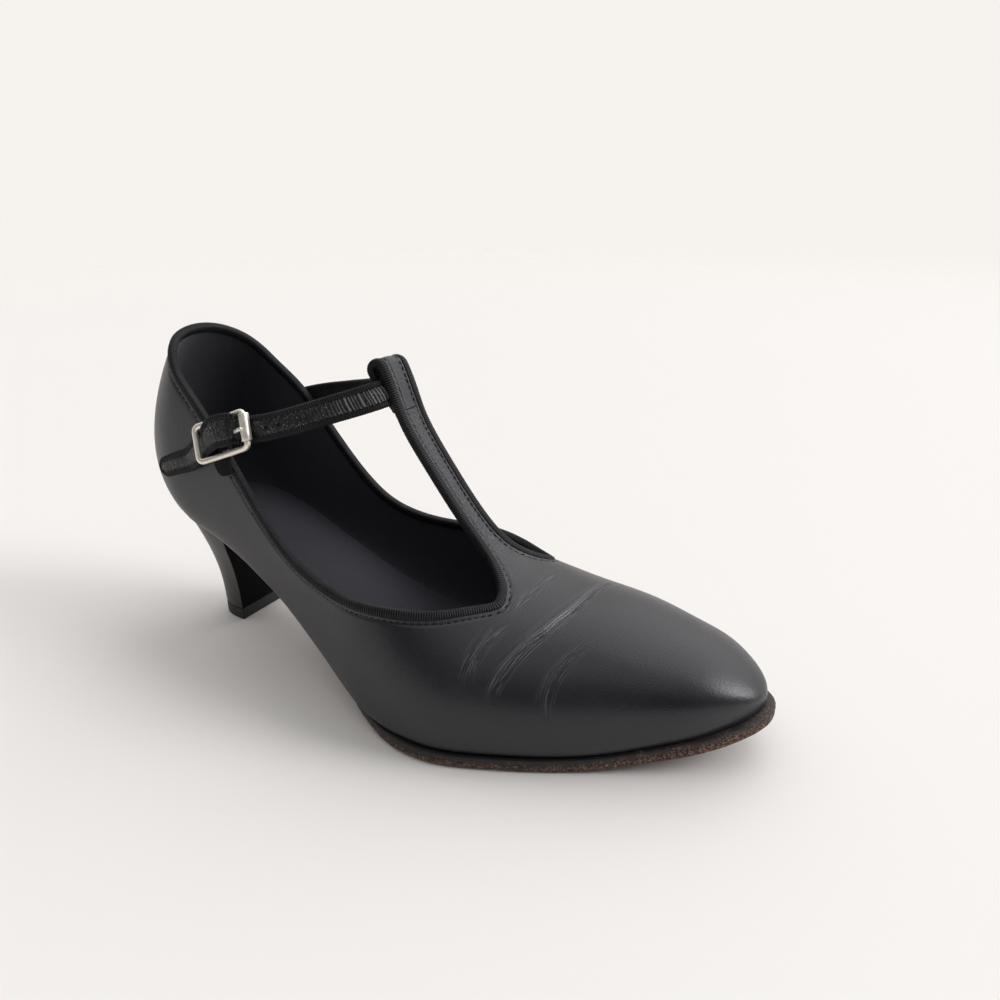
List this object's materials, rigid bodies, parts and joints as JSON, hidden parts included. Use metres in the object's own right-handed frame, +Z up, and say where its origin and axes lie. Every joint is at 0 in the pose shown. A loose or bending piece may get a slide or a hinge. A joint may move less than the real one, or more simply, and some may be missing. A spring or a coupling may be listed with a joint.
{
  "type": "latin dance shoe",
  "caption": "Heeled latin dance shoe with a hollow leather upper, T-strap loop, buckled ankle strap, bound topline and thin flexible sole.",
  "frame": {"origin": "centre of the shoe's outline box, on the floor under the sole", "axes": "+X from the heel to the toe, +Y to the inner side of the right foot, +Z up from the floor"},
  "size_m": [0.2294, 0.0824, 0.1123],
  "materials": {
    "black_leather": "smooth semi-gloss",
    "ribbed_tape": "ribbed grosgrain",
    "dark_lining": "matt",
    "sole_leather": "suede underside, worn dyed edge",
    "heel_cover": "smooth semi-gloss",
    "heel_rubber": "matt",
    "strap_leather": "soft creased",
    "nickel": "polished"
  },
  "bodies": {
    "root": {"upper": "black_leather", "topline_binding": "ribbed_tape", "insole": "dark_lining", "outsole": "sole_leather", "heel": "heel_cover", "heel_top_piece": "heel_rubber", "ankle_strap": "strap_leather", "buckle_tab": "strap_leather", "buckle_frame": "nickel", "buckle_roller": "nickel", "buckle_prong": "nickel"}
  },
  "joints": []
}
